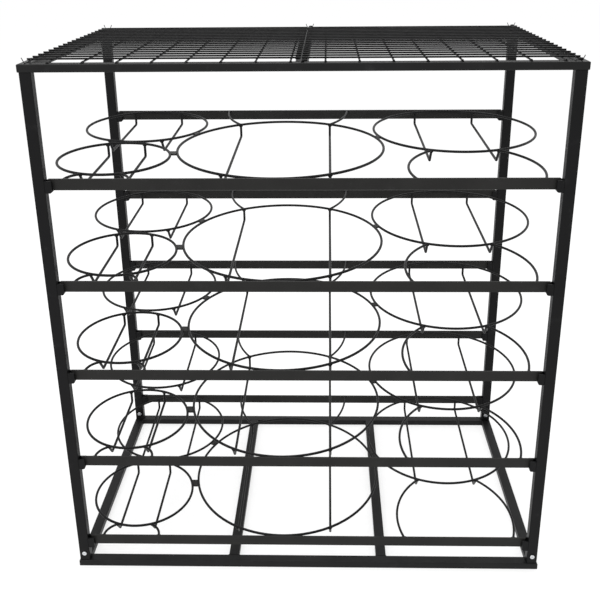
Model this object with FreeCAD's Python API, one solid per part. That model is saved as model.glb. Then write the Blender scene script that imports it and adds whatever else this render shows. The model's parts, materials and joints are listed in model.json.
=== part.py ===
import math
import os

import FreeCAD
import Part
from FreeCAD import Vector as V

# Tiered ring-holder rack.  Millimetres, +Z up, front faces -Y, origin at the bottom centre.

# --- overall frame
frame_w = 864.0
frame_d = 488.0
frame_h = 947.0
rail_w = 19.05
rail_t = 12.7
rail_r = 1.6
wall = 1.2
cross_x = 140.0
mitre_reach = 30.0

# --- posts
post_w = 19.05
post_d = 16.0
post_out_x = 430.5
post_out_y = 242.2
post_gap = 0.3
spigot_len = 28.0
spigot_fit = 0.35
spigot_r = 1.0

# --- screws through the posts into the lower spigots
screw_z = 28.0
screw_head_d = 8.5
screw_head_t = 1.8
screw_head_r = 0.9
screw_d = 4.2
screw_len = 9.0
screw_play = 0.15
screw_cross = (4.6, 1.1)
screw_cross_depth = 1.1

# --- tiers
bar_tops = (64.1, 239.4, 416.9, 585.4, 763.8)
rear_rise = 12.7
bar_t = 3.2
bar_h = 19.05
bar_len = 814.0
bar_front_back_y = -232.4
bar_rear_front_y = 231.6
ring_wire = 4.7
cradle_wire = 4.7
ring_down = 2.1
cradle_drop = 24.0
cradle_back = 16.0
cradle_gap = 0.9
bend_r = 4.0
tab_w = 13.5
front_tab_w = 17.5
tab_t = 3.0
tab_clear = 0.05

# --- bracket: a short channel with its front lip flush with the post
br_len = 11.0
br_t = 3.0
br_lip_below = 2.3
br_floor_gap = 0.35
br_round = 4.0
br_depth = 13.3

# --- mesh on the top frame
mesh_wire = 3.0
mesh_press = 0.35
mesh_pitch_y = 25.4
mesh_rows = 18
mesh_left_x = (-386.2, 52.85, 8)
mesh_right_x = (36.6, 51.5, 8)
mesh_seam_x = 1.6
mesh_end_x = 424.0
mesh_end_y = 238.0

# --- hairpins of binding wire: each hooks round a mesh wire and its two tails stand up, splayed
tie_wire = 1.3
tie_legs = 8.6
tie_tail_y = 237.0
tie_hook_y = 212.9
tie_hook_z = 951.0
tie_splay = 3.6
tie_rise = 8.4
tie_bend = 1.2
tie_corner_x = 416.8
tie_centre_x = 3.0

# ring layout in the plane of a tier: radius, centre x, cradle wire offset
ring_mid = (185.5, -45.2, 89.0)
ring_right = (154.5, 283.6, 60.0)
ring_rear = (118.0, -320.1, 49.0)
ring_front = (96.0, -332.0, 34.0)
ring_front_y = -111.3
front_tab_y = -84.0

# --- bowed wires that join rings to the bars: each stops short of its ring, in the weld
link_d = 4.4
link_z = -0.2
link_ring_gap = 4.0
link_bar_gap = 0.9

X, Y, Z = V(1, 0, 0), V(0, 1, 0), V(0, 0, 1)
wr = ring_wire / 2.0


def box(x0, x1, y0, y1, z0, z1):
    return Part.makeBox(x1 - x0, y1 - y0, z1 - z0, V(x0, y0, z0))


def rounded_bar(axis, length, a, b, r, start):
    """Bar with a rounded a x b section along axis ('x', 'y' or 'z') from the centre of its start face."""
    s = Part.makeBox(a, b, length, V(-a / 2, -b / 2, 0))
    s = s.makeFillet(r, [e for e in s.Edges if abs(e.BoundBox.ZLength - length) < 1e-3])
    if axis == 'x':
        s.rotate(V(), Y, 90)
        s.rotate(V(), X, 90)
    elif axis == 'y':
        s.rotate(V(), X, -90)
    s.translate(start)
    return s


def tube(axis, length, a, b, r, start):
    """Hollow rectangular tube: a is its width and b its height; on a post a is along X and b along Y."""
    outer = rounded_bar(axis, length, a, b, r, start)
    inner = rounded_bar(axis, length, a - 2 * wall, b - 2 * wall, r - wall + 0.2, start)
    return outer.cut(inner)


def wedge(points, z0, z1):
    corners = [V(x, y, z0) for x, y in points]
    poly = Part.makePolygon(corners + corners[:1])
    return Part.Face(poly).extrude(V(0, 0, z1 - z0))


def frame_rails(z0):
    """Four mitred rails; each is cut by the trapezium of its own side."""
    hw, hd, zc = frame_w / 2, frame_d / 2, z0 + rail_t / 2
    ox, oy = hw + mitre_reach, hd + mitre_reach
    ix, iy = hw - rail_w, hd - rail_w
    plan = {
        'front': [(-ox, -oy), (ox, -oy), (ix, -iy), (-ix, -iy)],
        'rear': [(ox, oy), (-ox, oy), (-ix, iy), (ix, iy)],
        'left': [(-ox, oy), (-ox, -oy), (-ix, -iy), (-ix, iy)],
        'right': [(ox, -oy), (ox, oy), (ix, iy), (ix, -iy)],
    }
    raw = {
        'front': tube('x', frame_w, rail_w, rail_t, rail_r, V(-hw, -hd + rail_w / 2, zc)),
        'rear': tube('x', frame_w, rail_w, rail_t, rail_r, V(-hw, hd - rail_w / 2, zc)),
        'left': tube('y', frame_d, rail_w, rail_t, rail_r, V(-hw + rail_w / 2, -hd, zc)),
        'right': tube('y', frame_d, rail_w, rail_t, rail_r, V(hw - rail_w / 2, -hd, zc)),
    }
    return {k: raw[k].common(wedge(plan[k], z0 - 1, z0 + rail_t + 1)) for k in raw}


def cross_rail(x, z0):
    y = frame_d / 2 - rail_w
    return tube('y', 2 * y, rail_w, rail_t, rail_r, V(x, -y, z0 + rail_t / 2))


def wire(points, d, r=0.0):
    """Round wire through points; inner corners bent to radius r."""
    pts = [V(*p) for p in points]
    edges, last = [], pts[0]
    for i in range(1, len(pts) - 1):
        a = (pts[i - 1] - pts[i]).normalize()
        b = (pts[i + 1] - pts[i]).normalize()
        half = math.acos(max(-1.0, min(1.0, a.dot(b)))) / 2
        k = r / math.tan(half)
        p0, p1 = pts[i] + a * k, pts[i] + b * k
        mid = (a + b).normalize()
        pm = pts[i] + mid * (r / math.sin(half) - r)
        edges.append(Part.LineSegment(last, p0).toShape())
        edges.append(Part.Arc(p0, pm, p1).toShape())
        last = p1
    edges.append(Part.LineSegment(last, pts[-1]).toShape())
    path = Part.Wire(edges)
    t = (pts[1] - pts[0]).normalize()
    prof = Part.Wire([Part.makeCircle(d / 2, pts[0], t)])
    return path.makePipeShell([prof], True, False)


def arc_wire(p0, pm, p1, d):
    edge = Part.Arc(V(*p0), V(*pm), V(*p1))
    shape = edge.toShape()
    t = shape.tangentAt(shape.FirstParameter)
    prof = Part.Wire([Part.makeCircle(d / 2, shape.valueAt(shape.FirstParameter), t)])
    return Part.Wire([shape]).makePipeShell([prof], True, False)


def save(name, shapes):
    body = shapes[0] if len(shapes) == 1 else Part.makeCompound(shapes)
    body.exportStep('parts/%s.step' % name)


# ---------------------------------------------------------------- frame

def make_frames():
    top_z = frame_h - rail_t
    for side, s in frame_rails(0.0).items():
        save('bottom_rail_' + side, [s])
    for side, s in frame_rails(top_z).items():
        save('top_rail_' + side, [s])
    save('bottom_cross_left', [cross_rail(-cross_x, 0.0)])
    save('bottom_cross_right', [cross_rail(cross_x, 0.0)])
    save('top_rail_centre', [cross_rail(0.0, top_z)])


def make_posts():
    """Posts slip over spigots welded to the two frames; a screw holds each one low down."""
    z0, z1 = rail_t + post_gap, frame_h - rail_t - post_gap
    a, b = post_w - 2 * (wall + spigot_fit), post_d - 2 * (wall + spigot_fit)
    spigots, screws = [], []
    px, py = post_out_x - post_w / 2, post_out_y - post_d / 2
    for sx, xn in ((-1, 'left'), (1, 'right')):
        for sy, yn in ((-1, 'front'), (1, 'rear')):
            cx, cy = sx * px, sy * py
            face = cy - post_d / 2
            post = tube('z', z1 - z0, post_w, post_d, rail_r, V(cx, cy, z0))
            hole = Part.makeCylinder(screw_d / 2 + screw_play, 2 * wall, V(cx, face - wall / 2, screw_z), Y)
            save('post_%s_%s' % (yn, xn), [post.cut(hole)])
            low = rounded_bar('z', spigot_len, a, b, spigot_r, V(cx, cy, rail_t))
            bore = Part.makeCylinder(screw_d / 2, screw_len, V(cx, face + wall, screw_z), Y)
            spigots.append(low.cut(bore))
            high = rounded_bar('z', spigot_len, a, b, spigot_r, V(cx, cy, frame_h - rail_t - spigot_len))
            spigots.append(high)
            screws.append(make_screw(cx, face))
    save('post_spigots', spigots)
    save('post_screws', screws)


def make_screw(x, face_y):
    """Pan-head screw with a cross recess; face_y is the post's front face, which the head sits on."""
    head_y = face_y - screw_head_t
    head = Part.makeCylinder(screw_head_d / 2, screw_head_t, V(x, head_y, screw_z), Y)
    front = [e for e in head.Edges if abs(e.BoundBox.YMax - head_y) < 1e-4]
    head = head.makeFillet(screw_head_r, front)
    body = Part.makeCylinder(screw_d / 2 - screw_play, screw_len, V(x, face_y - wall / 4, screw_z), Y)
    s = head.fuse(body)
    long, short = screw_cross
    for w, h in ((long, short), (short, long)):
        deep = head_y + screw_cross_depth
        s = s.cut(box(x - w / 2, x + w / 2, head_y - 1, deep, screw_z - h / 2, screw_z + h / 2))
    return s.removeSplitter()


# ---------------------------------------------------------------- brackets

def bracket(side, y_front, bar_bottom):
    """Channel with a front lip, floor and back plate; the lip's free lower corner is rounded."""
    x_in = post_out_x - post_w
    z_floor = bar_bottom - br_floor_gap
    z0, z_top = z_floor - br_t, bar_bottom + bar_h - br_lip_below
    x0, x1 = x_in - br_len, x_in
    outer = box(x0, x1, y_front, y_front + br_depth, z0, z_top)
    edge = [e for e in outer.Edges if abs(e.BoundBox.XMax - x0) < 1e-4
            and abs(e.BoundBox.ZMax - z0) < 1e-4 and e.BoundBox.YLength > 1]
    slot = box(x0 - 1, x1 + 1, y_front + br_t, y_front + br_depth - br_t, z_floor, z_top + 1)
    s = outer.makeFillet(br_round, edge).cut(slot)
    if side < 0:
        s = s.mirror(V(), X)
    return s


def make_brackets():
    for yn, y_front, rise in (('front', -post_out_y, 0.0), ('rear', post_out_y - post_d, rear_rise)):
        for side, xn in ((-1, 'left'), (1, 'right')):
            out = []
            for bar_top in bar_tops:
                out.append(bracket(side, y_front, bar_top - bar_h + rise))
            save('brackets_%s_%s' % (yn, xn), out)


# ---------------------------------------------------------------- top mesh

def make_mesh():
    """Two welded panels: wires from front to back on the frame, and the closer left-to-right wires on top."""
    zy = frame_h + mesh_wire / 2
    zx = zy + mesh_wire - mesh_press
    seam = mesh_seam_x
    panels = (
        ('mesh_left', mesh_left_x, -mesh_end_x, seam - mesh_wire - 0.1, []),
        ('mesh_right', mesh_right_x, seam - mesh_wire / 2 - 0.1, mesh_end_x, [seam]),
    )
    for name, (x0, pitch, n), xa, xb, extra in panels:
        stations = [x0 + i * pitch for i in range(n)] + extra
        longs = [Part.makeCylinder(mesh_wire / 2, 2 * mesh_end_y, V(x, -mesh_end_y, zy), Y) for x in stations]
        rows = []
        for j in range(mesh_rows):
            y = (j - (mesh_rows - 1) / 2.0) * mesh_pitch_y
            rows.append(Part.makeCylinder(mesh_wire / 2, xb - xa, V(xa, y, zx), X))
        save(name, [longs[0].multiFuse(longs[1:] + rows)])


def tie(x, side):
    """Hairpin of binding wire: flat legs on the rail, a hook behind the first mesh wire, two splayed tails."""
    low = frame_h + tie_wire / 2 + 0.05
    left, right = x - tie_legs / 2, x + tie_legs / 2
    tail, hook = side * tie_tail_y, side * tie_hook_y
    tip = side * (tie_tail_y + 1.0)
    legs = []
    for x_leg, lean in ((left, -tie_splay), (right, tie_splay)):
        tail_tip = (x_leg + lean, tip, low + tie_rise)
        legs.append([tail_tip, (x_leg, tail, low), (x_leg, hook, low), (x_leg, hook, tie_hook_z)])
    return wire(legs[0] + legs[1][::-1], tie_wire, tie_bend)


def make_ties():
    ties = [tie(sx * tie_corner_x, sy) for sx in (-1, 1) for sy in (-1, 1)]
    ties.append(tie(tie_centre_x, 1))
    save('mesh_ties', ties)


# ---------------------------------------------------------------- tiers, built with the ring plane at z = 0

def ring_layout():
    """Radius, centre x, centre y and cradle offset of each ring; three of them touch a bar."""
    y_front, y_rear = bar_front_back_y + wr, bar_rear_front_y - wr
    centre_y = {
        'mid': y_front + ring_mid[0],
        'right': y_rear - ring_right[0],
        'rear': y_rear - ring_rear[0],
        'front': ring_front_y,
    }
    sizes = {'mid': ring_mid, 'right': ring_right, 'rear': ring_rear, 'front': ring_front}
    return {k: (r, cx, centre_y[k], off) for k, (r, cx, off) in sizes.items()}


def cradle_wires(rings):
    """Two bent wires under each ring: an upright rear leg and a leaning front leg end just below it."""
    out = []
    top, low = -wr - cradle_gap, -cradle_drop
    for r, cx, cy, off in rings.values():
        dy = math.sqrt(r * r - off * off)
        for s in (-1, 1):
            x = cx + s * off
            points = [(x, cy + dy, top), (x, cy + dy, low), (x, cy - dy + cradle_back, low), (x, cy - dy, top)]
            out.append(wire(points, cradle_wire, bend_r))
    return out


def link_wires(rings):
    """Pairs of bowed wires from a bar to the cradle ends of a ring: (ring, bar face y, bar x, mid x, mid y)."""
    out = []
    plans = (
        ('mid', bar_rear_front_y, 125.0, 111.5, 160.0),
        ('right', bar_front_back_y, 102.0, 107.0, -150.0),
        ('front', bar_front_back_y, 52.0, 46.0, -214.0),
    )
    for name, bar_y, bar_x, mid_x, mid_y in plans:
        r, cx, cy, off = rings[name]
        out_y = math.copysign(1.0, bar_y)
        k = (r + link_ring_gap) / r
        end_x, end_y = off * k, cy + out_y * math.sqrt(r * r - off * off) * k
        inner = bar_y - out_y * link_bar_gap
        for s in (-1, 1):
            p0 = (cx + s * bar_x, inner, link_z)
            pm = (cx + s * mid_x, mid_y, link_z)
            p1 = (cx + s * end_x, end_y, link_z)
            out.append(arc_wire(p0, pm, p1, link_d))
    return out


def tab(rings, a, b, width, angle, middle):
    """Plate in the gap between two rings; its ends are hollowed to the round of the ring wires."""
    ra, xa, ya, _ = rings[a]
    rb, xb, yb, _ = rings[b]
    half = width / 2
    plate = box(-width, width, -half, half, -tab_t / 2, tab_t / 2)
    plate.rotate(V(), Z, angle)
    plate.translate(middle)
    for r, x, y in ((ra, xa, ya), (rb, xb, yb)):
        plate = plate.cut(Part.makeCylinder(r + wr + tab_clear, 4 * tab_t, V(x, y, -2 * tab_t), Z))
    return plate


def tabs(rings):
    """One tab square across at the front pair of rings, the others on the line of the ring centres."""
    out = []
    ra, xa, ya, _ = rings['front']
    rb, xb, yb, _ = rings['mid']
    left = xa + math.sqrt(ra * ra - (front_tab_y - ya) ** 2)
    right = xb - math.sqrt(rb * rb - (front_tab_y - yb) ** 2)
    out.append(tab(rings, 'front', 'mid', front_tab_w, 0.0, V((left + right) / 2, front_tab_y, 0)))
    for a, b in (('rear', 'mid'), ('right', 'mid'), ('rear', 'front')):
        ra, xa, ya, _ = rings[a]
        rb, xb, yb, _ = rings[b]
        d = V(xb - xa, yb - ya, 0)
        reach = (d.Length + ra - rb) / 2
        d.normalize()
        angle = math.degrees(math.atan2(d.y, d.x))
        out.append(tab(rings, a, b, tab_w, angle, V(xa, ya, 0) + d * reach))
    return out


def tier_parts():
    rings = ring_layout()
    low = ring_down - bar_h
    half = bar_len / 2
    return {
        'front_bar': [box(-half, half, bar_front_back_y - bar_t, bar_front_back_y, low, ring_down)],
        'rear_bar': [box(-half, half, bar_rear_front_y, bar_rear_front_y + bar_t, low, ring_down)],
        'rings': [Part.makeTorus(r, wr, V(cx, cy, 0), Z) for r, cx, cy, _ in rings.values()],
        'cradle_wires': cradle_wires(rings),
        'link_wires': link_wires(rings),
        'tabs': tabs(rings),
    }


def make_tiers():
    flat = tier_parts()
    pivot = V(0, bar_front_back_y - bar_t / 2, 0)
    span = bar_rear_front_y - bar_front_back_y + bar_t
    angle = math.degrees(math.asin(rear_rise / span))
    for number, bar_top in zip(range(len(bar_tops), 0, -1), bar_tops):
        for name, shapes in flat.items():
            out = []
            for s in shapes:
                c = s.copy()
                c.rotate(pivot, X, angle)
                c.translate(V(0, 0, bar_top - ring_down))
                out.append(c)
            save('tier_%d_%s' % (number, name), out)


def main():
    os.makedirs('parts', exist_ok=True)
    make_frames()
    make_posts()
    make_brackets()
    make_mesh()
    make_ties()
    make_tiers()


main()
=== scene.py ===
"""Looks of a black powder-coated rack with lift-out wire ring tiers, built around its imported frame."""

import json
import math

import bpy
import numpy as np
from bpy.props import FloatProperty, FloatVectorProperty, IntProperty, PointerProperty
from mathutils import Matrix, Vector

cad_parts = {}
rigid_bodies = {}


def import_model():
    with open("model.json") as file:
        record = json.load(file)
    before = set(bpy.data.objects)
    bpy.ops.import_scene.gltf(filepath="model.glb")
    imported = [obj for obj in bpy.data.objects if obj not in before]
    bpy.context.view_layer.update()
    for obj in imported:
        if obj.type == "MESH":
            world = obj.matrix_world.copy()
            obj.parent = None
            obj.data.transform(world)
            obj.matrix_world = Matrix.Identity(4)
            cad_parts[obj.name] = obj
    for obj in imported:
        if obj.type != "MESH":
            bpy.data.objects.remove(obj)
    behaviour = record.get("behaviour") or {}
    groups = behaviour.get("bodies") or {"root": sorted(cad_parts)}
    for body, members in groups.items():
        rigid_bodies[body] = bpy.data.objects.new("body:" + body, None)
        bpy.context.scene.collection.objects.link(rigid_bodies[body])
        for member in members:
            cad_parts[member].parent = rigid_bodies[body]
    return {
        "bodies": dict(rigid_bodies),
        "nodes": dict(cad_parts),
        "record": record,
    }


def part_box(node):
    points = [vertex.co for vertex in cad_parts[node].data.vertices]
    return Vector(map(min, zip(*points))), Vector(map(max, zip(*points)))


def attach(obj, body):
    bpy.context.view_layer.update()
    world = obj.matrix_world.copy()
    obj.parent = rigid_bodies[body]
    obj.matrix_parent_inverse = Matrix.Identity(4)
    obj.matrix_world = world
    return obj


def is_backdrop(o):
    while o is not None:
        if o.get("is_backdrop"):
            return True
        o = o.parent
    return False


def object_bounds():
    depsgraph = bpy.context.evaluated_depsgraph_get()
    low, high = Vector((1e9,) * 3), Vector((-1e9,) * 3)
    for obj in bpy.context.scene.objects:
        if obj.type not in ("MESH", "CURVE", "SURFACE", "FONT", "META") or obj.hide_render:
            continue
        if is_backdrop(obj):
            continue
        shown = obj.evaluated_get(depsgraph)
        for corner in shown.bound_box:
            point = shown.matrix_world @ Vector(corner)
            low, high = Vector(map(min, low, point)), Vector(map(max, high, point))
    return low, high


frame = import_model()

bl_info = {
    "name": "Ring Rack Finish",
    "version": (1, 0, 0),
    "blender": (4, 5, 0),
    "location": "View3D > Sidebar > Ring Rack",
    "description": "Powder coat, weld metal and a studio for a rack of lift-out wire ring tiers",
    "category": "Object",
}

TIERS = sorted(body for body in frame["bodies"] if body.startswith("tier_"))
OPENINGS = {row["name"]: row["box_m"] for row in frame["record"]["physics"]["openings"]}
RINGS = ("middle", "right", "left_rear", "left_front")
MM = 0.001

# sizes of the welds, in metres or as shares of a wire's or a bead's radius
LINK_WELD_OUT = 1.3         # middle of a link's weld outside the ring's middle line, in wire radii
LINK_WELD_SHARE = 0.8       # length and height of that weld, as shares of a cradle wire's weld
LINK_NEAR = 3.0 * MM        # a link ends at a weld if one of its points is this close
LINK_BAR_HALF = 2.2         # half length of a link's weld on a bar, in wire radii
LINK_BAR_REACH = 2.0 * MM   # a link's end is less than this from its bar
RING_BAR_REACH = 2.0        # a ring closer than this to a bar is welded to it, in wire radii
RING_BAR_HEIGHT = 0.9       # half height of a ring's weld on a bar, as a share of its half width
TAB_TOUCH = 0.4 * MM        # a tab's end is this close to the skin of its ring
TAB_LIFT = 1.4 * MM         # height of a tab's welds above and below its middle
TAB_WELD_HEIGHT = 0.7       # half height of those welds, as a share of their half width
BRACKET_DROP = 3.0 * MM     # depth of a bracket's weld under its bar
BRACKET_INSET = 1.5 * MM    # how far it stops short of the bracket's ends
BRACKET_SHARE = 0.75        # its half width, as a share of a bead's
MESH_END_REACH = (1.0 * MM, 5.0 * MM)   # how far a weld runs past a long wire's end, and along the wire
MESH_END_WELD = (0.4, 2.3, 1.2)     # its height over the underside, half width and half height, in wire radii
MESH_SIDE_REACH = (5.0 * MM, 4.0 * MM)  # a cross wire's weld: its middle from the panel's side, and half length
MESH_SIDE_WELD = (1.6, 1.3, 1.7)    # its depth under the panel's top, half width and half height, in wire radii
CROSSING_WELD = (1.25, 0.55)        # half width and half height of a weld where wires cross, in wire radii

# smallest distances between neighbours, which tell one wire or tab from the next
CRADLE_APART = 5.0 * MM
LINK_APART = 4.0 * MM
MESH_APART = 6.0 * MM
TAB_APART = 20.0 * MM

# widths of the lumps in the coat's patterns
CLOUD_SIZE = 60.0 * MM
RUB_SIZE = 22.0 * MM
LUMP_SIZE = 2.2 * MM

LAMP_SIZE = 2.5
LAMPS = (   # name, place, aim and share of the key power
    ("key_light", (-1.6, -2.2, 3.0), (0.0, 0.0, 0.5), 1.0),
    ("top_light", (0.3, 0.6, 3.2), (0.0, 0.0, 0.9), 0.8))
FLOOR_GAP = 0.2 * MM    # the floor lies this far under the rack


# ------------------------------------------------------------------ sizes and colours a user would change


class CoatSettings(bpy.types.PropertyGroup):
    """Powder coat on the tube, bar and wire."""

    tube_colour: FloatVectorProperty(
        name="Tube colour", description="Black of the posts and brackets", subtype="COLOR",
        size=3, min=0.0, max=1.0, default=(0.0028, 0.0028, 0.0031))
    rail_colour: FloatVectorProperty(
        name="Rail colour", description="Black of the rails of the top and bottom frames", subtype="COLOR",
        size=3, min=0.0, max=1.0, default=(0.0075, 0.0075, 0.0077))
    bar_colour: FloatVectorProperty(
        name="Bar colour", description="Black of the flat bars and tabs of the tiers", subtype="COLOR",
        size=3, min=0.0, max=1.0, default=(0.0135, 0.0132, 0.0126))
    wire_colour: FloatVectorProperty(
        name="Wire colour", description="Black of the rings, cradles, links and mesh", subtype="COLOR",
        size=3, min=0.0, max=1.0, default=(0.0032, 0.0032, 0.0034))
    rub_colour: FloatVectorProperty(
        name="Rub colour", description="Grey where the coat is scuffed", subtype="COLOR",
        size=3, min=0.0, max=1.0, default=(0.03, 0.03, 0.031))
    roughness: FloatProperty(
        name="Roughness", description="Gloss of the coat, 0 mirror to 1 matt", subtype="FACTOR",
        min=0.0, max=1.0, default=0.42)
    shine: FloatProperty(
        name="Shine", description="Strength of the coat's clear reflection", subtype="FACTOR",
        min=0.0, max=1.0, default=0.14)
    peel_size: FloatProperty(
        name="Peel size", description="Width of one dimple of the coat's orange peel", unit="LENGTH",
        min=0.0002, max=0.01, default=1.3 * MM)
    peel_depth: FloatProperty(
        name="Peel depth", description="Depth of a dimple", unit="LENGTH",
        min=0.0, max=0.001, default=0.05 * MM)
    rub_share: FloatProperty(
        name="Rubbed share", description="How much of the coat is scuffed", subtype="FACTOR",
        min=0.0, max=1.0, default=0.3)


class WeldSettings(bpy.types.PropertyGroup):
    """Weld metal where pieces meet."""

    bead_radius: FloatProperty(
        name="Bead radius", description="Half width of a weld bead on the tube", unit="LENGTH",
        min=0.0005, max=0.01, default=2.1 * MM)
    nugget_radius: FloatProperty(
        name="Nugget radius", description="Half width of a weld on the wire", unit="LENGTH",
        min=0.0005, max=0.01, default=2.6 * MM)
    nugget_length: FloatProperty(
        name="Nugget length", description="Length of a weld on the wire", unit="LENGTH",
        min=0.001, max=0.03, default=8.0 * MM)
    fillet_radius: FloatProperty(
        name="Fillet radius", description="Half width of the thin weld along a tab's end", unit="LENGTH",
        min=0.0002, max=0.005, default=1.1 * MM)
    ripples: IntProperty(
        name="Ripples", description="Ripples along each bead", min=1, max=12, default=5)
    ripple_depth: FloatProperty(
        name="Ripple depth", description="Ripple as a share of the bead's radius", subtype="FACTOR",
        min=0.0, max=0.5, default=0.12)


class FittingSettings(bpy.types.PropertyGroup):
    """Screws and binding wire."""

    zinc_colour: FloatVectorProperty(
        name="Zinc colour", description="Bright zinc of the screws", subtype="COLOR",
        size=3, min=0.0, max=1.0, default=(0.74, 0.75, 0.77))
    binding_colour: FloatVectorProperty(
        name="Binding wire colour", description="Annealed wire of the ties", subtype="COLOR",
        size=3, min=0.0, max=1.0, default=(0.03, 0.03, 0.031))


class StageSettings(bpy.types.PropertyGroup):
    """Floor, light and camera."""

    floor_colour: FloatVectorProperty(
        name="Floor colour", description="Plain pale floor", subtype="COLOR",
        size=3, min=0.0, max=1.0, default=(0.3, 0.3, 0.3))
    floor_glow: FloatProperty(
        name="Floor glow", description="Light of the floor itself, which hides the shadows on it",
        min=0.0, max=2.0, default=0.69)
    floor_radius: FloatProperty(
        name="Floor radius", description="Half width of the floor", unit="LENGTH",
        min=1.0, max=200.0, default=60.0)
    sky_strength: FloatProperty(
        name="Sky strength", description="Even white light from all round", min=0.0, max=10.0, default=1.04)
    key_power: FloatProperty(
        name="Key power", description="Power of the large soft light above", unit="POWER",
        min=0.0, max=2000.0, default=60.0)
    camera_place: FloatVectorProperty(
        name="Camera place", description="Where the camera stands", subtype="TRANSLATION",
        size=3, default=(0.0403, -1.4525, 1.1253))
    camera_pitch: FloatProperty(
        name="Camera pitch", description="Angle that the camera looks down", subtype="ANGLE", default=0.3355)
    camera_yaw: FloatProperty(
        name="Camera yaw", description="Angle that the camera looks to the right", subtype="ANGLE",
        default=-0.0224)
    camera_roll: FloatProperty(
        name="Camera roll", description="Tilt of the camera's top to the right", subtype="ANGLE",
        default=-0.0084)
    focal_length: FloatProperty(
        name="Focal length", description="Lens in millimetres on a 36 mm sensor", min=10.0, max=300.0,
        default=48.0)
    shift: FloatVectorProperty(
        name="Lens shift", description="Shift of the picture across and up", size=2,
        default=(-0.0187, -0.14))


# ------------------------------------------------------------------ shader maths


class Value:
    """A shader number. Arithmetic on it adds Math nodes to its finish."""

    def __init__(self, finish, socket):
        self.finish = finish
        self.socket = socket

    def math(self, operation, *operands):
        """A Math node of that operation on those numbers, in order."""
        sockets = dict(enumerate(operands))
        node = self.finish.add("ShaderNodeMath", {"operation": operation}, sockets)
        return Value(self.finish, node.outputs[0])

    def __add__(self, other):
        return self.math("ADD", self, other)

    def __sub__(self, other):
        return self.math("SUBTRACT", self, other)

    def __rsub__(self, other):
        return self.math("SUBTRACT", other, self)

    def __mul__(self, other):
        return self.math("MULTIPLY", self, other)

    __radd__ = __add__
    __rmul__ = __mul__

    def clamp(self):
        """The number, held between 0 and 1."""
        return self.math("MINIMUM", self.math("MAXIMUM", self, 0.0), 1.0)


class Finish:
    """A material under construction, with Object coordinates at hand."""

    def __init__(self, name):
        self.material = bpy.data.materials.new(name)
        self.material.use_nodes = True
        self.tree = self.material.node_tree
        self.tree.nodes.clear()
        self.place = self.add("ShaderNodeTexCoord").outputs["Object"]

    def add(self, kind, settings=None, sockets=None):
        """A node of that type: its settings first, then the values or links of its sockets."""
        node = self.tree.nodes.new(kind)
        for key, setting in (settings or {}).items():
            if key == "stops":
                self.set_stops(node.color_ramp, setting)
            else:
                setattr(node, key, setting)
        for key, given in (sockets or {}).items():
            source = given.socket if isinstance(given, Value) else given
            if isinstance(source, bpy.types.NodeSocket):
                self.tree.links.new(source, node.inputs[key])
            else:
                node.inputs[key].default_value = source
        return node

    @staticmethod
    def set_stops(ramp, stops):
        """Gives a ramp its stops of (position, level) in grey."""
        while len(ramp.elements) < len(stops):
            ramp.elements.new(1.0)
        for element, (position, level) in zip(ramp.elements, stops):
            element.position = position
            element.color = (level, level, level, 1.0)

    def noise(self, size, detail=2.0, stretch=(1.0, 1.0, 1.0)):
        """Noise whose lumps are about size metres wide, longer along an axis whose stretch is under 1."""
        mapped = self.add("ShaderNodeMapping", {"vector_type": "POINT"},
                          {"Vector": self.place, "Scale": stretch})
        node = self.add("ShaderNodeTexNoise", {"noise_dimensions": "3D"},
                        {"Vector": mapped.outputs[0], "Scale": 1.0 / size, "Detail": detail})
        return Value(self, node.outputs[0])

    def ramp(self, value, *stops):
        """Value read through straight stops of (position, level)."""
        node = self.add("ShaderNodeValToRGB", {"stops": stops}, {"Fac": value})
        return Value(self, node.outputs[0])

    def blend(self, share, first, second):
        """Colour from first to second as share goes from 0 to 1."""
        colours = [c if isinstance(c, bpy.types.NodeSocket) else tuple(c) + (1.0,) for c in (first, second)]
        node = self.add("ShaderNodeMix", {"data_type": "RGBA"}, {0: share, 6: colours[0], 7: colours[1]})
        return node.outputs[2]

    def bump(self, height):
        """A normal tilted by a height in metres."""
        node = self.add("ShaderNodeBump", None, {"Height": height, "Distance": 1.0, "Strength": 1.0})
        return node.outputs[0]

    def shade(self, **sockets):
        """The surface shader, with its sockets named in words joined by underscores."""
        named = {key.replace("_", " "): given for key, given in sockets.items()}
        shader = self.add("ShaderNodeBsdfPrincipled", None, named)
        self.add("ShaderNodeOutputMaterial", None, {"Surface": shader.outputs[0]})
        return self.material


def powder_coat(name, colour, grain=1.0, lumps=0.0):
    """Black powder coat: cloudy black, scuffs, orange peel, and lumps metres high of weld below it."""
    coat = bpy.context.scene.rack_coat
    finish = Finish(name)
    cloud = finish.noise(CLOUD_SIZE, detail=4.0)
    speck = finish.noise(coat.peel_size * 2.0, detail=1.0)
    patches = finish.noise(RUB_SIZE, detail=5.0)
    rubbed = finish.ramp(patches, (0.6, 0.0), (0.74, 1.0)) * finish.ramp(speck, (0.4, 0.3), (0.6, 1.0))
    base = finish.blend((cloud * 1.4 - 0.2).clamp(), [c * 0.75 for c in colour], [c * 1.35 for c in colour])
    scuffed = finish.blend(rubbed * coat.rub_share, base, tuple(coat.rub_colour))
    peel = finish.noise(coat.peel_size, detail=2.0)
    height = peel * (coat.peel_depth * grain)
    if lumps:
        height = height + finish.noise(LUMP_SIZE, detail=3.0) * lumps
    roughness = (cloud * 0.16 + speck * 0.1 + rubbed * 0.12 + (coat.roughness - 0.13)).clamp()
    return finish.shade(Base_Color=scuffed, Roughness=roughness, Metallic=0.0, Specular_IOR_Level=coat.shine,
                        Normal=finish.bump(height))


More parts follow.
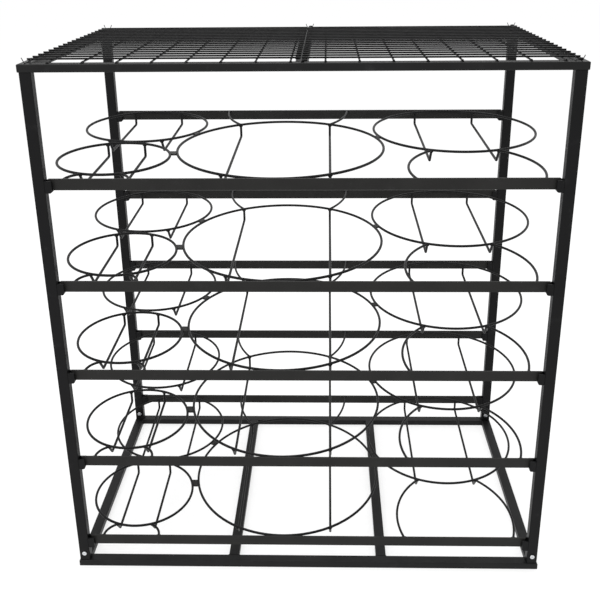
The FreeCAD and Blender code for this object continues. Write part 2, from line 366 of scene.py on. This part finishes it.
def zinc(name, colour):
    """Bright zinc: a metal with soft mottling and fine scratches round the head."""
    finish = Finish(name)
    mottle = finish.noise(0.0016, detail=3.0)
    scratch = finish.noise(0.0006, detail=2.0, stretch=(1.0, 1.0, 0.2))
    tint = finish.blend((mottle * 1.6 - 0.3).clamp(), [c * 0.8 for c in colour], colour)
    return finish.shade(Base_Color=tint, Metallic=1.0, Roughness=mottle * 0.25 + 0.16,
                        Normal=finish.bump(scratch * (0.02 * MM)))


def annealed(name, colour):
    """Binding wire: dark oxide with worn streaks along it."""
    finish = Finish(name)
    streak = finish.noise(0.0015, detail=3.0)
    tint = finish.blend(finish.ramp(streak, (0.5, 0.0), (0.7, 1.0)), colour, [c * 3.0 for c in colour])
    return finish.shade(Base_Color=tint, Metallic=0.6, Roughness=streak * 0.3 + 0.3,
                        Normal=finish.bump(streak * (0.03 * MM)))


def paint(node, material):
    """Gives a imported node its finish."""
    piece = frame["nodes"][node]
    piece.data.materials.clear()
    piece.data.materials.append(material)


# ------------------------------------------------------------------ weld metal


def unit(vectors):
    """Vectors at length 1."""
    return vectors / np.linalg.norm(vectors, axis=-1, keepdims=True)


def weld_metal(name, runs, body, material, rings=7, sides=8):
    """Closed lumps of weld. A run is (start, end, outward, half width, half height) and each point of it lies
    at start + s (end - start) for a share s, then off that line by sin(u)^0.7 times a ripple of
    1 + depth cos(2 pi n s), times half width cos(v) sideways and half height sin(v) outward, where
    s = (1 - cos u) / 2 and v goes once round."""
    weld = bpy.context.scene.rack_weld
    start, end, outward = (np.array([run[k] for run in runs], float) for k in range(3))
    wide, high = (np.array([run[k] for run in runs], float)[:, None, None, None] for k in (3, 4))
    along = unit(end - start)
    outward = unit(outward - (outward * along).sum(1, keepdims=True) * along)
    side = np.cross(outward, along)
    u = np.linspace(0.0, math.pi, rings + 2)[1:-1]
    v = np.arange(sides) * (2.0 * math.pi / sides)
    share = (1.0 - np.cos(u)) / 2.0
    swell = np.sin(u) ** 0.7 * (1.0 + weld.ripple_depth * np.cos(2.0 * math.pi * weld.ripples * share))
    core = start[:, None] + share[None, :, None] * (end - start)[:, None]
    ring = wide * np.cos(v)[None, None, :, None] * side[:, None, None]
    ring = ring + high * np.sin(v)[None, None, :, None] * outward[:, None, None]
    skin = core[:, :, None] + swell[None, :, None, None] * ring
    points = np.concatenate([start[:, None], skin.reshape(len(runs), -1, 3), end[:, None]], axis=1)
    j = np.arange(sides)
    nxt = (j + 1) % sides
    row = 1 + np.arange(rings - 1)[:, None] * sides
    quads = np.stack([row + j, row + nxt, row + sides + nxt, row + sides + j], axis=-1).reshape(-1, 4)
    last = 1 + (rings - 1) * sides
    tip = rings * sides + 1
    first_fan = np.stack([0 * j, 1 + nxt, 1 + j], axis=-1)
    last_fan = np.stack([0 * j + tip, last + j, last + nxt], axis=-1)
    fans = np.concatenate([first_fan, last_fan])
    step = (np.arange(len(runs)) * (tip + 1))[:, None, None]
    faces = (quads[None] + step).reshape(-1, 4).tolist() + (fans[None] + step).reshape(-1, 3).tolist()
    mesh = bpy.data.meshes.new(name)
    mesh.from_pydata(points.reshape(-1, 3).tolist(), [], faces)
    mesh.shade_smooth()
    mesh.materials.append(material)
    piece = bpy.data.objects.new(name, mesh)
    bpy.context.scene.collection.objects.link(piece)
    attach(piece, body)


def node_points(node):
    """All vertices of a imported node, one row each."""
    mesh = frame["nodes"][node].data
    flat = np.zeros(len(mesh.vertices) * 3, np.float32)
    mesh.vertices.foreach_get("co", flat)
    return flat.reshape(-1, 3).astype(float)


def spans(values, gap):
    """Lows and highs of the groups that sorted values fall into where neighbours are more than gap apart."""
    ordered = np.sort(values)
    cuts = np.flatnonzero(np.diff(ordered) > gap)
    return ordered[np.concatenate([[0], cuts + 1])], ordered[np.concatenate([cuts, [len(ordered) - 1]])]


def clusters(values, gap):
    """Middles of those groups."""
    lows, highs = spans(values, gap)
    return (lows + highs) / 2.0


class TierPlane:
    """A tier's own flat axes: x across, y up the slope from the front bar, z square to the rings."""

    def __init__(self, tier):
        front, rear = (np.array([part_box(tier + end)[k] for k in (0, 1)], float).mean(0)
                       for end in ("_front_bar", "_rear_bar"))
        slope = math.atan2(rear[2] - front[2], rear[1] - front[1])
        self.axes = np.array([[1.0, 0.0, 0.0],
                              [0.0, math.cos(slope), math.sin(slope)],
                              [0.0, -math.sin(slope), math.cos(slope)]])
        self.origin = front
        rings = self.flat(node_points(tier + "_rings"))
        self.origin = front + self.axes[2] * (rings[:, 2].min() + rings[:, 2].max()) / 2.0
        self.rings = self.flat(node_points(tier + "_rings"))
        self.wire = self.rings[:, 2].max()
        self.cradles = self.flat(node_points(tier + "_cradle_wires"))
        self.links = self.flat(node_points(tier + "_link_wires"))
        self.tabs = self.flat(node_points(tier + "_tabs"))
        self.front_bar = self.flat(node_points(tier + "_front_bar"))
        self.rear_bar = self.flat(node_points(tier + "_rear_bar"))
        self.tier = tier

    def flat(self, points):
        """Points in the rack's axes, given in the tier's."""
        return (points - self.origin) @ self.axes.T

    def world(self, points):
        """Points in the tier's axes, given in the rack's."""
        return np.asarray(points, float) @ self.axes + self.origin

    def turn(self, vectors):
        """Directions in the tier's axes, given in the rack's."""
        return np.asarray(vectors, float) @ self.axes

    def ring(self, name):
        """Centre x, centre y, radius and cradle offset of a ring, from its opening and the wires round it."""
        low, high = np.array(OPENINGS[self.tier + "_" + name + "_ring"], float)
        cx, cy = self.flat(((low + high) / 2.0)[None])[0, :2]
        radius = np.hypot(self.rings[:, 0] - cx, self.rings[:, 1] - cy).min() + self.wire
        inside = (abs(self.cradles[:, 0] - cx) < radius) & (abs(self.cradles[:, 1] - cy) < radius)
        wires = clusters(self.cradles[inside, 0], CRADLE_APART)
        return cx, cy, radius, (wires[-1] - wires[0]) / 2.0


def ring_welds(plane):
    """Weld runs of one tier. Cradle ends, links and bars are welded to the rings by a run along the ring or bar
    at the touching point, tab ends by a thin run above and below, and links to the bars by a short run."""
    weld = bpy.context.scene.rack_weld
    wide, length, thin = weld.nugget_radius, weld.nugget_length, weld.fillet_radius
    runs = []
    front, rear = plane.front_bar[:, 1].max(), plane.rear_bar[:, 1].min()
    bottom = -plane.wire
    for cx, cy, radius, offset in map(plane.ring, RINGS):
        for turn in (-1.0, 1.0):
            for end in (-1.0, 1.0):
                outward = np.array([turn * offset, end * math.sqrt(radius ** 2 - offset ** 2), 0.0]) / radius
                tangent = np.array([-outward[1], outward[0], 0.0])
                spot = np.array([cx, cy, 0.0]) + outward * radius
                half = tangent * length / 2
                foot = spot + (0, 0, bottom)
                runs.append((foot - half, foot + half, (0, 0, -1), wide, wide))
                link_end = spot + outward * plane.wire * LINK_WELD_OUT
                if np.linalg.norm(plane.links - link_end, axis=1).min() < LINK_NEAR:
                    half = half * LINK_WELD_SHARE
                    runs.append((link_end - half, link_end + half, (0, 0, 1), wide, wide * LINK_WELD_SHARE))
        for face, reach in ((front, cy - radius), (rear, cy + radius)):
            if abs(face - reach) < RING_BAR_REACH * plane.wire:
                left, right = np.array([[cx - length, face, 0.0], [cx + length, face, 0.0]])
                runs.append((left, right, (0, 0, 1), wide, wide * RING_BAR_HEIGHT))
        gap = plane.tabs[:, :2] - (cx, cy)
        beside = abs(np.hypot(*gap.T) - radius - plane.wire) < TAB_TOUCH
        turned = np.arctan2(gap[beside, 1], gap[beside, 0]) % (2.0 * math.pi)
        skin = radius + plane.wire
        for ends in zip(*spans(turned, TAB_APART / radius)):
            foot, tip = (np.array([cx + skin * math.cos(v), cy + skin * math.sin(v), 0.0]) for v in ends)
            for way in (-1.0, 1.0):
                lift = np.array([0.0, 0.0, way * TAB_LIFT])
                runs.append((foot + lift, tip + lift, (0, 0, way), thin, thin * TAB_WELD_HEIGHT))
    half = np.array([plane.wire * LINK_BAR_HALF, 0.0, 0.0])
    for face, points in ((front, plane.links[plane.links[:, 1] < front + LINK_BAR_REACH]),
                         (rear, plane.links[plane.links[:, 1] > rear - LINK_BAR_REACH])):
        for x in clusters(points[:, 0], LINK_APART):
            spot = np.array([x, face, 0.0])
            runs.append((spot - half, spot + half, (0, 0, 1), wide, wide))
    return [(plane.world(a), plane.world(b), plane.turn(n), w, h) for a, b, n, w, h in runs]


# ------------------------------------------------------------------ operators, one for each piece or group


class RACK_OT_coat_tubes(bpy.types.Operator):
    """Coats the rails, cross rails, posts, spigots and brackets in satin black"""

    bl_idname = "rack.coat_tubes"
    bl_label = "Coat Tubes"

    def execute(self, context):
        settings = context.scene.rack_coat
        posts = powder_coat("tube_coat", tuple(settings.tube_colour))
        rails = powder_coat("rail_coat", tuple(settings.rail_colour))
        for node in frame["nodes"]:
            if node.startswith(("post_", "brackets_")) and node != "post_screws":
                paint(node, posts)
            elif node.startswith(("top_rail", "bottom_")):
                paint(node, rails)
        return {"FINISHED"}


class RACK_OT_coat_tiers(bpy.types.Operator):
    """Coats the bars, rings, cradle wires, link wires and tabs of every tier"""

    bl_idname = "rack.coat_tiers"
    bl_label = "Coat Tiers"

    def execute(self, context):
        settings = context.scene.rack_coat
        bars = powder_coat("bar_coat", tuple(settings.bar_colour))
        wires = powder_coat("tier_coat", tuple(settings.wire_colour), grain=0.8)
        for node in frame["nodes"]:
            if node.startswith("tier_"):
                paint(node, bars if node.endswith(("_bar", "_tabs")) else wires)
        return {"FINISHED"}


class RACK_OT_coat_mesh(bpy.types.Operator):
    """Coats the two welded mesh panels on the top"""

    bl_idname = "rack.coat_mesh"
    bl_label = "Coat Mesh"

    def execute(self, context):
        coat = powder_coat("mesh_coat", tuple(context.scene.rack_coat.wire_colour), grain=0.6)
        for node in ("mesh_left", "mesh_right"):
            paint(node, coat)
        return {"FINISHED"}


class RACK_OT_fittings(bpy.types.Operator):
    """Gives the screws their zinc and the ties their annealed wire"""

    bl_idname = "rack.fittings"
    bl_label = "Finish Fittings"

    def execute(self, context):
        fitting = context.scene.rack_fitting
        paint("post_screws", zinc("zinc_plate", tuple(fitting.zinc_colour)))
        paint("mesh_ties", annealed("annealed_wire", tuple(fitting.binding_colour)))
        return {"FINISHED"}


class RACK_OT_frame_welds(bpy.types.Operator):
    """Lays weld beads at the cross rails, in the frames' inner corners and under the brackets"""

    bl_idname = "rack.frame_welds"
    bl_label = "Weld Frame"

    def execute(self, context):
        wide = context.scene.rack_weld.bead_radius
        runs = []
        for cross in ("bottom_cross_left", "bottom_cross_right", "top_rail_centre"):
            low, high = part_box(cross)
            for y, way in ((low.y, 1.0), (high.y, -1.0)):
                for x, side in ((low.x, -1.0), (high.x, 1.0)):
                    runs.append(((x, y, low.z), (x, y, high.z), (side, way, 0), wide, wide))
        for level in ("bottom", "top"):
            side_low, side_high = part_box(level + "_rail_left")
            x, y = side_high.x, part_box(level + "_rail_front")[1].y
            for sx in (-1.0, 1.0):
                for sy in (-1.0, 1.0):
                    corner = (-sx * x, -sy * y)
                    runs.append(((*corner, side_low.z), (*corner, side_high.z), (-sx, -sy, 0), wide, wide))
        for end in ("front", "rear"):
            for hand, inward in (("left", 1.0), ("right", -1.0)):
                low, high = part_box("brackets_" + end + "_" + hand)
                x = low.x if inward > 0 else high.x
                y0, y1 = low.y + BRACKET_INSET, high.y - BRACKET_INSET
                narrow = wide * BRACKET_SHARE
                for tier in TIERS:
                    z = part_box(tier + "_" + end + "_bar")[0].z - BRACKET_DROP
                    runs.append(((x, y0, z), (x, y1, z), (inward, 0, -1), narrow, narrow))
        coat = powder_coat("weld_coat", tuple(context.scene.rack_coat.tube_colour), lumps=0.12 * MM)
        weld_metal("frame_welds", runs, "frame", coat)
        return {"FINISHED"}


class RACK_OT_mesh_welds(bpy.types.Operator):
    """Sets a nugget of weld at each mesh wire's end on the frame, and a small one at each crossing"""

    bl_idname = "rack.mesh_welds"
    bl_label = "Weld Mesh"

    def execute(self, context):
        coat = powder_coat("mesh_weld_coat", tuple(context.scene.rack_coat.wire_colour), lumps=0.08 * MM)
        lift, end_wide, end_high = MESH_END_WELD
        past, along = MESH_END_REACH
        drop, side_wide, side_high = MESH_SIDE_WELD
        seat, reach = MESH_SIDE_REACH
        cross_wide, cross_high = CROSSING_WELD
        up = (0, 0, 1)
        ends, crossings = [], []
        for node in ("mesh_left", "mesh_right"):
            points = node_points(node)
            low, high = points.min(0), points.max(0)
            wire = (high[2] - low[2]) / 4.0
            stations = clusters(points[points[:, 1] < low[1] + MM, 0], MESH_APART)
            rows = clusters(points[points[:, 0] < low[0] + MM, 1], MESH_APART)
            for x in stations:
                for y, way in ((low[1], 1.0), (high[1], -1.0)):
                    foot = np.array([x, y, low[2] + wire * lift])
                    outer, inner = foot - (0, way * past, 0), foot + (0, way * along, 0)
                    ends.append((outer, inner, up, wire * end_wide, wire * end_high))
            for y in rows:
                for x, way in ((low[0], 1.0), (high[0], -1.0)):
                    foot = np.array([x + way * seat, y, high[2] - wire * drop])
                    left, right = foot - (reach, 0, 0), foot + (reach, 0, 0)
                    ends.append((left, right, up, wire * side_wide, wire * side_high))
            grid = np.stack(np.meshgrid(stations, rows, indexing="ij"), axis=-1).reshape(-1, 2)
            level = (low[2] + high[2]) / 2.0
            half = wire * cross_wide
            crossings += [((x - half, y, level), (x + half, y, level), up, half, wire * cross_high)
                          for x, y in grid]
        weld_metal("mesh_end_welds", ends, "frame", coat)
        weld_metal("mesh_crossings", crossings, "frame", coat, rings=2, sides=6)
        return {"FINISHED"}


class RACK_OT_tier_welds(bpy.types.Operator):
    """Sets the nuggets of weld that hold each tier's rings, wires, tabs and bars together"""

    bl_idname = "rack.tier_welds"
    bl_label = "Weld Tiers"

    def execute(self, context):
        coat = powder_coat("tier_weld_coat", tuple(context.scene.rack_coat.wire_colour), lumps=0.1 * MM)
        for tier in TIERS:
            weld_metal(tier + "_welds", ring_welds(TierPlane(tier)), tier, coat)
        return {"FINISHED"}


class RACK_OT_stage(bpy.types.Operator):
    """Sets the pale floor, the soft light and the camera"""

    bl_idname = "rack.stage"
    bl_label = "Set Stage"

    def execute(self, context):
        stage = context.scene.rack_stage
        self.lay_floor(stage)
        self.light(context.scene, stage)
        self.place_camera(context.scene, stage)
        context.scene.view_settings.view_transform = "Standard"
        return {"FINISHED"}

    def lay_floor(self, stage):
        """A level disc: each point at radius times (cos v, sin v) just under the rack's lowest point."""
        v = np.linspace(0.0, 2.0 * math.pi, 96, endpoint=False)
        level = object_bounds()[0].z - FLOOR_GAP
        rim = np.stack([np.cos(v), np.sin(v), 0.0 * v], axis=-1) * stage.floor_radius + (0.0, 0.0, level)
        mesh = bpy.data.meshes.new("floor")
        mesh.from_pydata(rim.tolist(), [], [list(range(len(v)))])
        finish = Finish("floor_paper")
        grain = finish.noise(0.4, detail=3.0)
        pale = tuple(stage.floor_colour)
        tint = finish.blend(grain, [c * 0.99 for c in pale], pale)
        paper = finish.shade(Base_Color=tint, Roughness=0.9, Specular_IOR_Level=0.0,
                             Emission_Color=(1.0, 1.0, 1.0, 1.0), Emission_Strength=stage.floor_glow)
        mesh.materials.append(paper)
        floor = bpy.data.objects.new("floor", mesh)
        bpy.context.scene.collection.objects.link(floor)
        floor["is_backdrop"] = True

    def light(self, scene, stage):
        """An even white sky and square lamps, each turned so that its back is away from its aim."""
        world = bpy.data.worlds.new("studio")
        world.use_nodes = True
        sky = world.node_tree.nodes["Background"]
        sky.inputs["Color"].default_value = (1.0, 1.0, 1.0, 1.0)
        sky.inputs["Strength"].default_value = stage.sky_strength
        scene.world = world
        for name, place, aim, share in LAMPS:
            lamp = bpy.data.lights.new(name, "AREA")
            lamp.size = LAMP_SIZE
            lamp.energy = stage.key_power * share
            light = bpy.data.objects.new(name, lamp)
            away = unit(np.array(place) - np.array(aim))
            sideways = unit(np.cross((0.0, 0.0, 1.0), away))
            turn = Matrix(np.stack([sideways, np.cross(away, sideways), away], axis=1).tolist())
            light.matrix_world = Matrix.Translation(place) @ turn.to_4x4()
            scene.collection.objects.link(light)

    def place_camera(self, scene, stage):
        """The camera looks along its yaw and pitch, with its sides turned about that line by its roll."""
        pitch, yaw, roll = stage.camera_pitch, stage.camera_yaw, stage.camera_roll
        forward = np.array([math.sin(yaw) * math.cos(pitch), math.cos(yaw) * math.cos(pitch), -math.sin(pitch)])
        right = np.array([math.cos(yaw), -math.sin(yaw), 0.0])
        up = np.cross(right, forward)
        across = right * math.cos(roll) + up * math.sin(roll)
        upward = up * math.cos(roll) - right * math.sin(roll)
        lens = bpy.data.cameras.new("camera")
        lens.sensor_width = 36.0
        lens.lens = stage.focal_length
        lens.shift_x, lens.shift_y = stage.shift
        lens.clip_start, lens.clip_end = 0.01, 300.0
        camera = bpy.data.objects.new("camera", lens)
        turn = Matrix(np.stack([across, upward, -forward], axis=1).tolist())
        camera.matrix_world = Matrix.Translation(stage.camera_place) @ turn.to_4x4()
        scene.collection.objects.link(camera)
        scene.camera = camera


class RACK_PT_panel(bpy.types.Panel):
    """Lists the rack's steps in the order in which they are run"""

    bl_idname = "RACK_PT_panel"
    bl_label = "Ring Rack"
    bl_space_type = "VIEW_3D"
    bl_region_type = "UI"
    bl_category = "Ring Rack"

    def draw(self, context):
        for step in STEPS:
            self.layout.operator(step.bl_idname)
        for name in SETTINGS:
            group = getattr(context.scene, name)
            box = self.layout.box()
            for key in group.bl_rna.properties.keys():
                if key not in ("rna_type", "name"):
                    box.prop(group, key)


STEPS = (RACK_OT_coat_tubes, RACK_OT_coat_tiers, RACK_OT_coat_mesh, RACK_OT_fittings, RACK_OT_frame_welds,
         RACK_OT_mesh_welds, RACK_OT_tier_welds, RACK_OT_stage)
SETTINGS = {"rack_coat": CoatSettings, "rack_weld": WeldSettings, "rack_fitting": FittingSettings,
            "rack_stage": StageSettings}


def register():
    for group in (*SETTINGS.values(), *STEPS, RACK_PT_panel):
        bpy.utils.register_class(group)
    for name, group in SETTINGS.items():
        setattr(bpy.types.Scene, name, PointerProperty(type=group))


def unregister():
    for name in SETTINGS:
        delattr(bpy.types.Scene, name)
    for group in reversed((*SETTINGS.values(), *STEPS, RACK_PT_panel)):
        bpy.utils.unregister_class(group)


def main():
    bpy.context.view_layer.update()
    register()
    bpy.ops.rack.coat_tubes()
    bpy.ops.rack.coat_tiers()
    bpy.ops.rack.coat_mesh()
    bpy.ops.rack.fittings()
    bpy.ops.rack.frame_welds()
    bpy.ops.rack.mesh_welds()
    bpy.ops.rack.tier_welds()
    bpy.ops.rack.stage()


if __name__ == "__main__":
    main()
